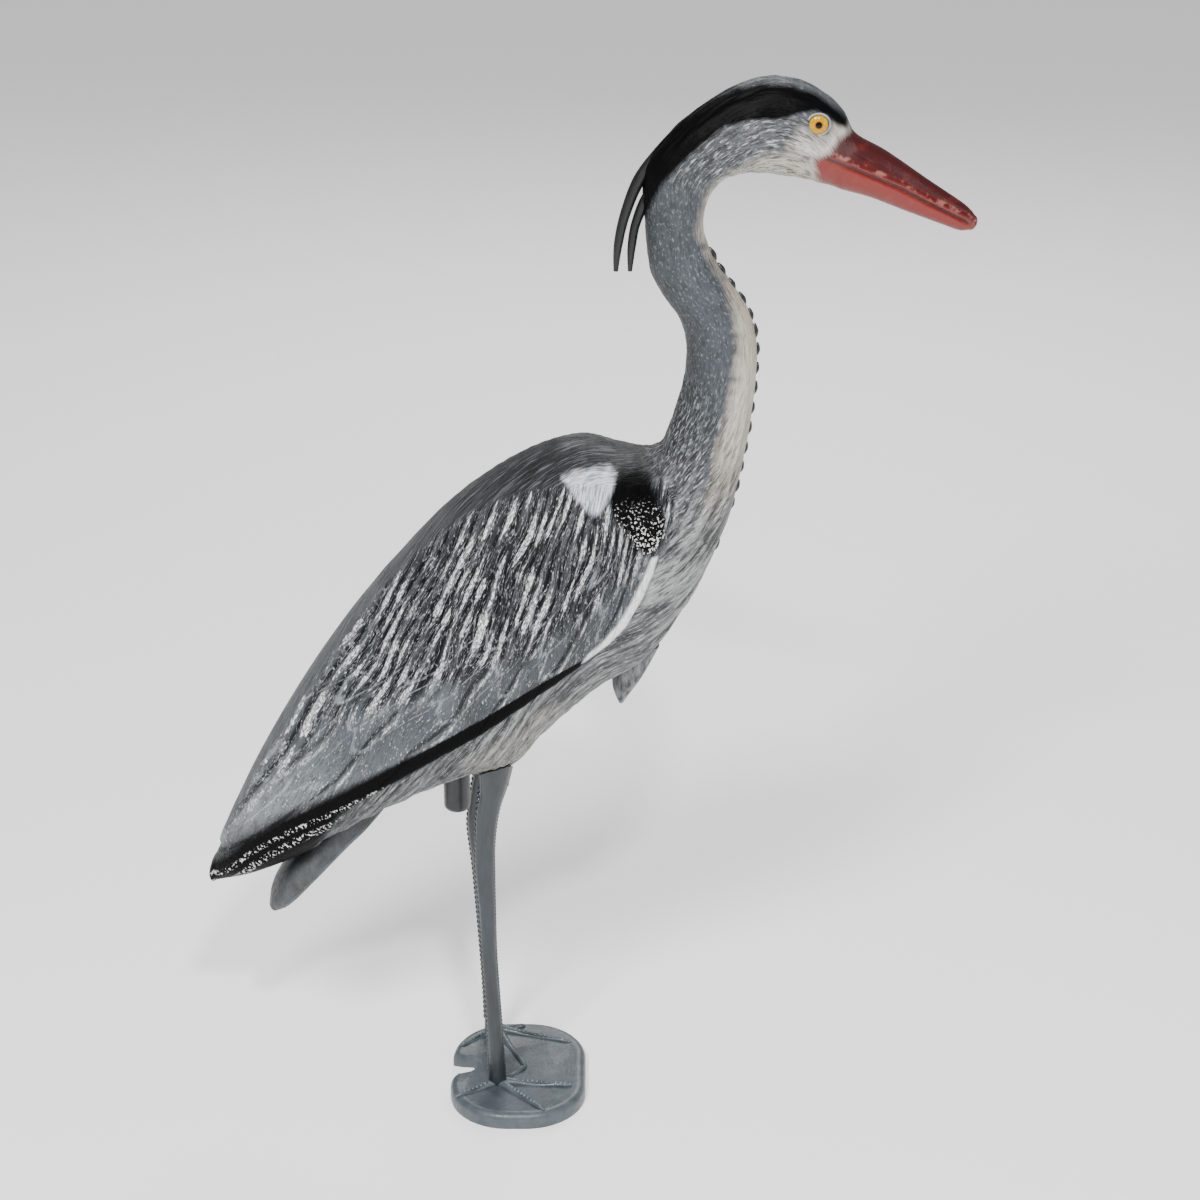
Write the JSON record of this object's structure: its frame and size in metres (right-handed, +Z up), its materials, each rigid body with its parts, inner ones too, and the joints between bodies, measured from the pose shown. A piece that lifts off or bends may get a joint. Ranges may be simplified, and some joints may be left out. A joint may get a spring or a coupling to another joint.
{
  "type": "standing heron decoy",
  "caption": "Hollow standing grey heron decoy on two plug-in legs with a ballasted foot plate, notched for a ground peg.",
  "frame": {"origin": "on the ground under the middle of the bird's overall box", "axes": "+X the way the bill points, +Y the bird's left side, +Z up"},
  "size_m": [0.542, 0.16, 0.7608],
  "materials": {
    "painted_body": "blow-moulded polyethylene, hand-sprayed slate, black and white, satin lacquer",
    "crest_plastic": "glossy black paint",
    "eye_plastic": "gloss amber with a black pupil",
    "leg_plastic": "satin slate-grey moulding",
    "plug_plastic": "satin slate-grey moulding",
    "foot_plastic": "satin slate-grey moulding",
    "ballast_iron": "raw casting",
    "rod_steel": "bright drawn rod",
    "screw_steel": "zinc plated"
  },
  "bodies": {
    "stand": {"foot_plate": "foot_plastic", "foot_cover": "foot_plastic", "ballast_slab": "ballast_iron", "cover_screw_1": "screw_steel", "cover_screw_2": "screw_steel", "cover_screw_3": "screw_steel", "cover_screw_4": "screw_steel", "leg_right": "leg_plastic", "leg_left": "leg_plastic", "leg_rod_right": "rod_steel", "leg_rod_left": "rod_steel"},
    "bird": {"body_shell": "painted_body", "crest_plume_outer": "crest_plastic", "crest_plume_inner": "crest_plastic", "eye_right": "eye_plastic", "eye_left": "eye_plastic", "leg_peg_right": "leg_plastic", "leg_peg_left": "leg_plastic"},
    "plug": {"belly_plug": "plug_plastic"}
  },
  "joints": [
    {"name": "body_lift", "type": "slide", "parent": "stand", "child": "bird", "axis": [0, 0, 1], "range_m": [0, 0.035]},
    {"name": "belly_plug_pull", "type": "slide", "parent": "bird", "child": "plug", "axis": [0, 0, -1], "range_m": [0, 0.045]}
  ]
}
